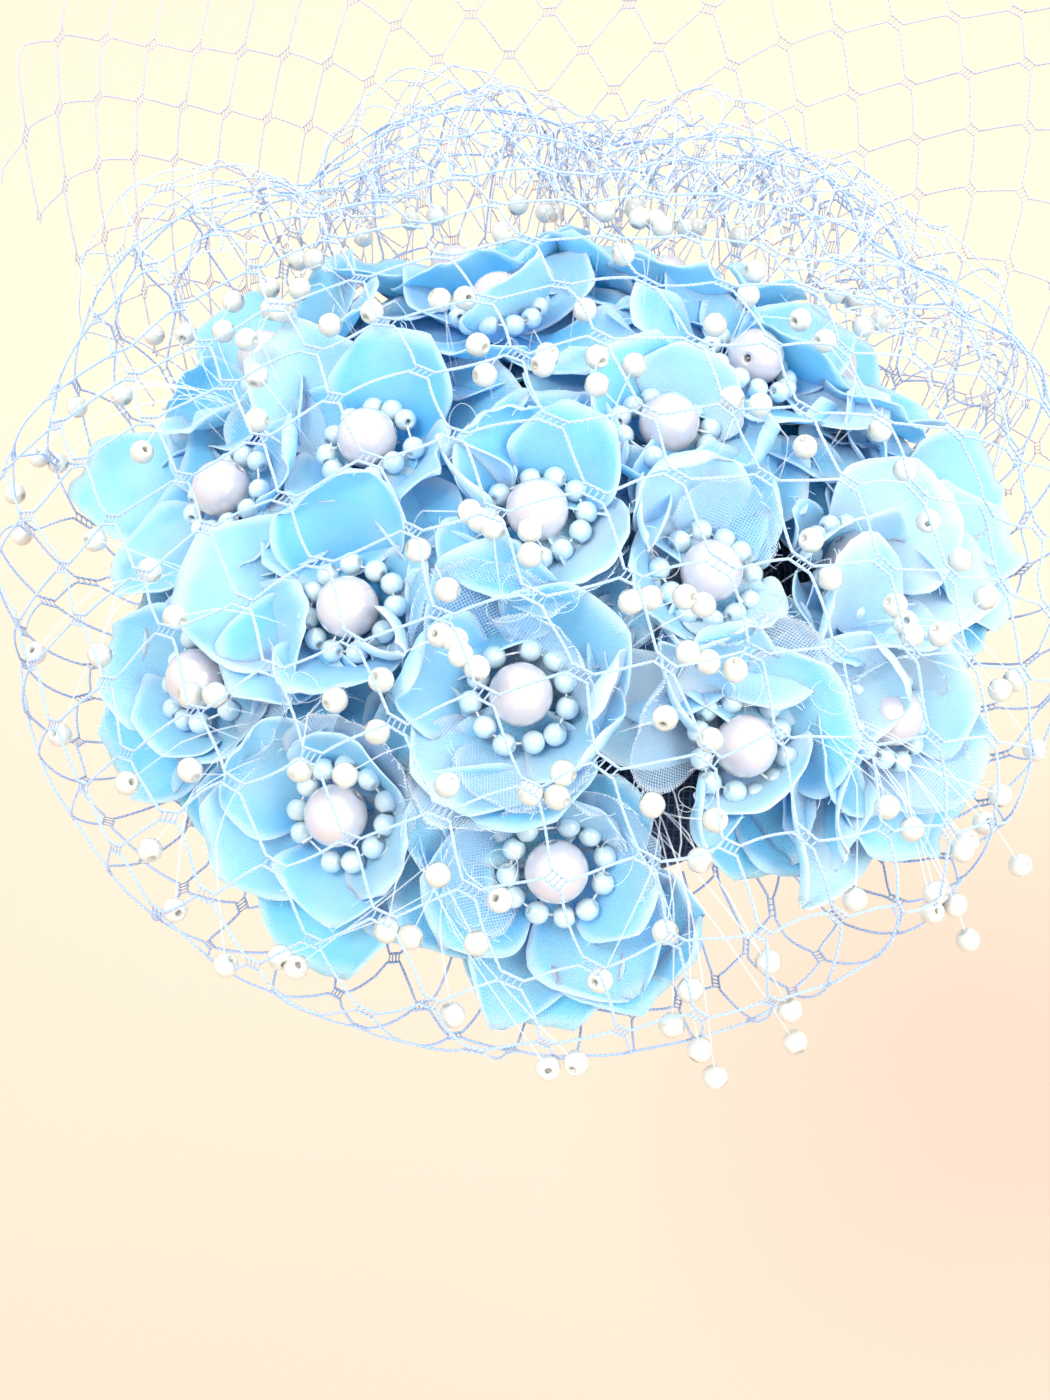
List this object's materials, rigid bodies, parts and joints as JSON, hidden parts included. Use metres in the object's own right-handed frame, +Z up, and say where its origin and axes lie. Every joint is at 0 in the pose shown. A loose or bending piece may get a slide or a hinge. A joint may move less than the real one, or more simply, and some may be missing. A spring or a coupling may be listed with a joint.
{
  "type": "fascinator",
  "caption": "Domed head piece of cupped cloth flowers with pearl centres and sprays of small pearls, under a coarse diamond veil that fans out behind.",
  "frame": {"origin": "where the crown of the head meets the middle of the base's underside", "axes": "+Z up along the base's axis, -Y towards the wearer's face, +X to the viewer's right from the front"},
  "size_m": [0.2514, 0.304, 0.0893],
  "materials": {
    "base_net": "matte, open weave",
    "comb_plastic": "clear moulded",
    "petal_cloth": "satin and gauze",
    "pearl": "pearlescent",
    "spray_pearl": "pearlescent",
    "veil_net": "soft knotted thread"
  },
  "bodies": {
    "root": {"base_dome": "base_net", "flower_01": "petal_cloth", "flower_02": "petal_cloth", "flower_03": "petal_cloth", "flower_04": "petal_cloth", "flower_05": "petal_cloth", "flower_06": "petal_cloth", "flower_07": "petal_cloth", "flower_08": "petal_cloth", "flower_09": "petal_cloth", "flower_10": "petal_cloth", "flower_11": "petal_cloth", "flower_12": "petal_cloth", "flower_13": "petal_cloth", "flower_14": "petal_cloth", "flower_15": "petal_cloth", "flower_16": "petal_cloth", "flower_17": "petal_cloth", "flower_18": "petal_cloth", "flower_19": "petal_cloth", "flower_20": "petal_cloth", "hair_comb": "comb_plastic", "pearls_01": "pearl", "pearls_02": "pearl", "pearls_03": "pearl", "pearls_04": "pearl", "pearls_05": "pearl", "pearls_06": "pearl", "pearls_07": "pearl", "pearls_08": "pearl", "pearls_09": "pearl", "pearls_10": "pearl", "pearls_11": "pearl", "pearls_12": "pearl", "pearls_13": "pearl", "pearls_14": "pearl", "pearls_15": "pearl", "pearls_16": "pearl", "pearls_17": "pearl", "pearls_18": "pearl", "pearls_19": "pearl", "pearls_20": "pearl", "spray_a": "spray_pearl", "spray_b": "spray_pearl", "spray_c": "spray_pearl", "spray_d": "spray_pearl", "spray_e": "spray_pearl", "spray_f": "spray_pearl", "veil_bag": "veil_net", "veil_fan": "veil_net"}
  },
  "joints": []
}
